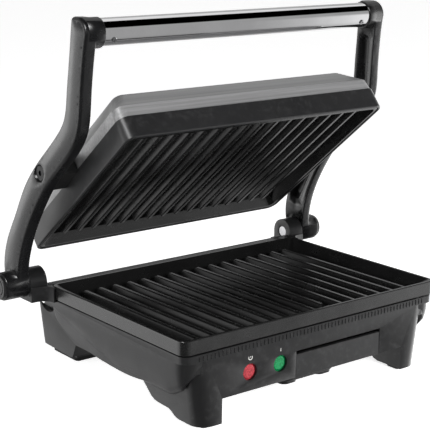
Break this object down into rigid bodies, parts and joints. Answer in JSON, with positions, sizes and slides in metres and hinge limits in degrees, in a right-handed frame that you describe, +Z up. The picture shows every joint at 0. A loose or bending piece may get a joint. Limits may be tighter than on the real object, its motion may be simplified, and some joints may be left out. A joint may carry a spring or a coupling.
{
  "type": "panini press",
  "caption": "Contact grill with a floating ribbed lid on two curved arms, a chromed cross handle, indicator lamps and a drip tray.",
  "frame": {"origin": "on the table under the middle of the base", "axes": "+X to the user's right, +Y to the back (hinge side), +Z up; the press is half open at rest"},
  "size_m": [0.3798, 0.266, 0.3297],
  "materials": {
    "housing_plastic": "satin moulded, fine grain",
    "cover_plastic": "matte black moulding",
    "steel": "plain steel",
    "black_steel": "blackened",
    "rubber": "matte",
    "nonstick": "black non-stick coating, semi-gloss",
    "heater_sheath": "dull sheath",
    "reflector": "bright sheet",
    "bakelite": "moulded",
    "red_lens": "translucent",
    "green_lens": "translucent",
    "lamp_glass": "clear",
    "tray_plastic": "satin moulded, fine grain",
    "arm_plastic": "satin moulded",
    "chrome": "polished",
    "lid_metal": "brushed and lacquered, satin",
    "rim_plastic": "satin moulded"
  },
  "bodies": {
    "base": {"base_housing": "housing_plastic", "base_bottom_cover": "cover_plastic", "cover_screws": "steel", "rubber_feet": "rubber", "cord_gland": "cover_plastic", "lower_plate": "nonstick", "lower_plate_screws": "steel", "lower_heater": "heater_sheath", "lower_reflector": "reflector", "lower_thermostat": "reflector", "thermal_fuse": "heater_sheath", "terminal_block": "bakelite", "red_lens": "red_lens", "green_lens": "green_lens", "red_lamp": "lamp_glass", "green_lamp": "lamp_glass", "lamp_bracket": "cover_plastic", "deck_screws": "steel"},
    "tray": {"drip_tray": "tray_plastic"},
    "hinge_pins": {"left_hinge_pin": "steel", "right_hinge_pin": "steel"},
    "arms": {"right_arm": "arm_plastic", "left_arm": "arm_plastic", "hinge_end_caps": "cover_plastic", "handle_tube": "chrome", "handle_screws": "steel"},
    "pivot_pins": {"left_pivot_pin": "black_steel", "right_pivot_pin": "black_steel"},
    "lid": {"lid_cover": "lid_metal", "lid_rim": "rim_plastic", "upper_plate": "nonstick", "upper_heater": "heater_sheath", "upper_reflector": "reflector", "upper_thermostat": "reflector", "right_lid_bracket": "cover_plastic", "left_lid_bracket": "cover_plastic", "bracket_screws": "steel", "lid_cover_screws": "steel"}
  },
  "joints": [
    {"name": "lid_open", "type": "hinge", "parent": "base", "child": "hinge_pins", "pos_m": [0, 0.087, 0.083], "axis": [-1, 0, 0], "range_deg": [-32.7, 119.4]},
    {"name": "press_down", "type": "hinge", "parent": "hinge_pins", "child": "arms", "pos_m": [0, 0.087, 0.083], "axis": [-1, 0, 0], "range_deg": [-19.9, 0]},
    {"name": "pivot_float", "type": "hinge", "parent": "arms", "child": "pivot_pins", "pos_m": [0, 0.03788, 0.19335], "axis": [-1, 0, 0], "range_deg": [-6.01, 21.91]},
    {"name": "lid_level", "type": "hinge", "parent": "pivot_pins", "child": "lid", "pos_m": [0, 0.03788, 0.19335], "axis": [-1, 0, 0], "range_deg": [-0.01, 19.91]},
    {"name": "tray_slide", "type": "slide", "parent": "base", "child": "tray", "axis": [0, -1, 0], "range_m": [0, 0.13]}
  ],
  "couplings": [
    {"joint": "pivot_float", "follows": "lid_open", "ratio": 0.18342},
    {"joint": "lid_level", "follows": "press_down", "ratio": -1}
  ]
}
